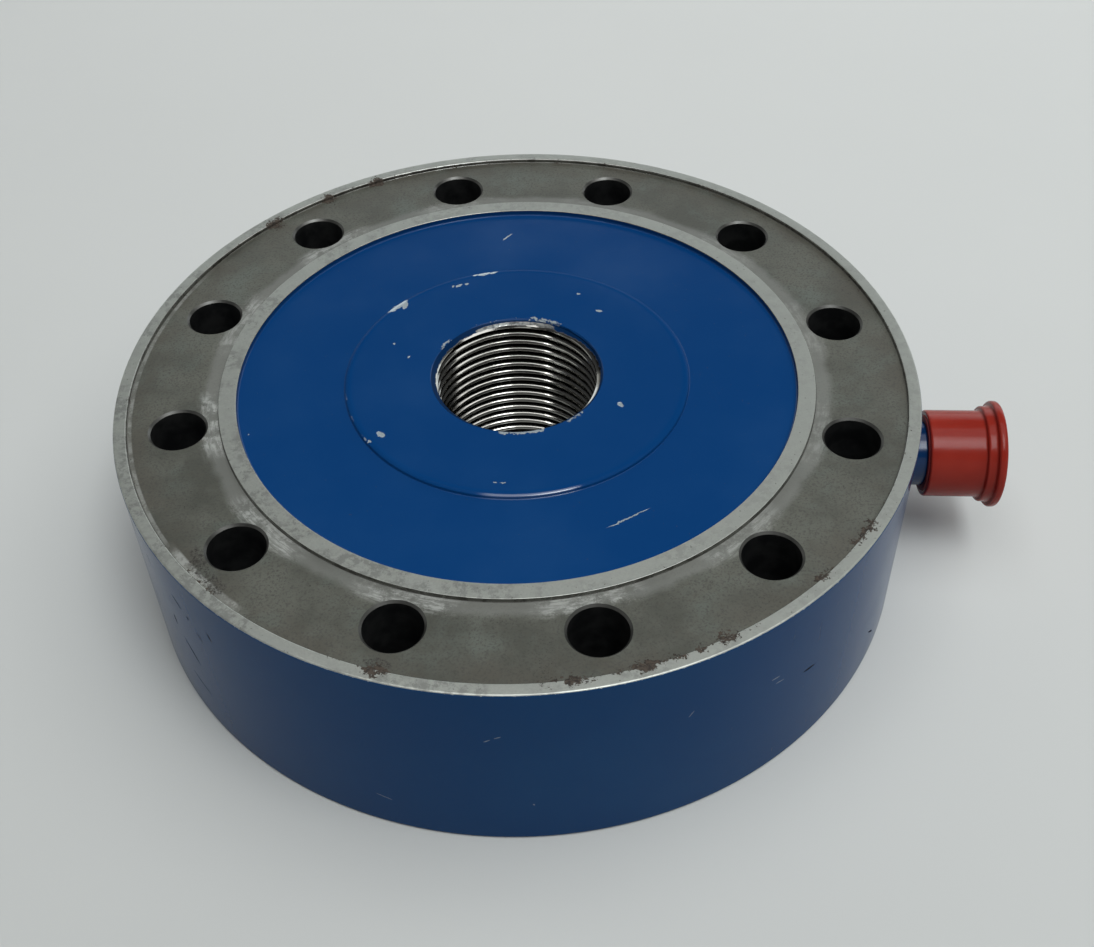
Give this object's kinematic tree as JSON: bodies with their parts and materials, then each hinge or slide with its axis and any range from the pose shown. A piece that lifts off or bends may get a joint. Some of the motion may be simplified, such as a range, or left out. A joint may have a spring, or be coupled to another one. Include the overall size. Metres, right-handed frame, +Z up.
{
  "type": "low-profile load cell",
  "caption": "Round low-profile load cell: a bolt-ring flexure with a threaded hub, sealed covers and a side connector under a push-on dust cap.",
  "frame": {"origin": "centre of the ground base ring, on the hub axis at the mounting plane", "axes": "+Z up the hub axis towards the loaded face, +X along the side connector, +Y completes the right-handed set"},
  "size_m": [0.1725, 0.154, 0.042],
  "materials": {
    "blue_paint": "satin",
    "gauge_film": "satin",
    "terminal_copper": "satin",
    "wire_insulation": "satin",
    "strip_laminate": "satin",
    "resistor_ceramic": "satin",
    "potting_resin": "satin",
    "seal_rubber": "matte",
    "shell_alloy": "satin",
    "stud_steel": "satin",
    "insert_rubber": "matte",
    "contact_gilt": "gloss",
    "cap_plastic": "satin"
  },
  "bodies": {
    "cell": {"sensor_body": "blue_paint", "top_cover": "blue_paint", "bottom_cover": "blue_paint", "strain_gauges": "gauge_film", "gauge_terminals": "terminal_copper", "bridge_harness": "wire_insulation", "terminal_strip": "strip_laminate", "compensation_resistors": "resistor_ceramic", "connector_leads": "wire_insulation", "port_potting": "potting_resin", "connector_neck": "blue_paint", "neck_seal": "seal_rubber", "connector_gasket": "seal_rubber", "connector_shell": "shell_alloy", "bayonet_studs": "stud_steel", "connector_insert": "insert_rubber", "insert_retainer": "insert_rubber", "contact_pins": "contact_gilt"},
    "cap": {"dust_cap": "cap_plastic"}
  },
  "joints": [
    {"name": "dust_cap_pull", "type": "slide", "parent": "cell", "child": "cap", "axis": [1, 0, 0], "range_m": [0, 0.02]}
  ]
}
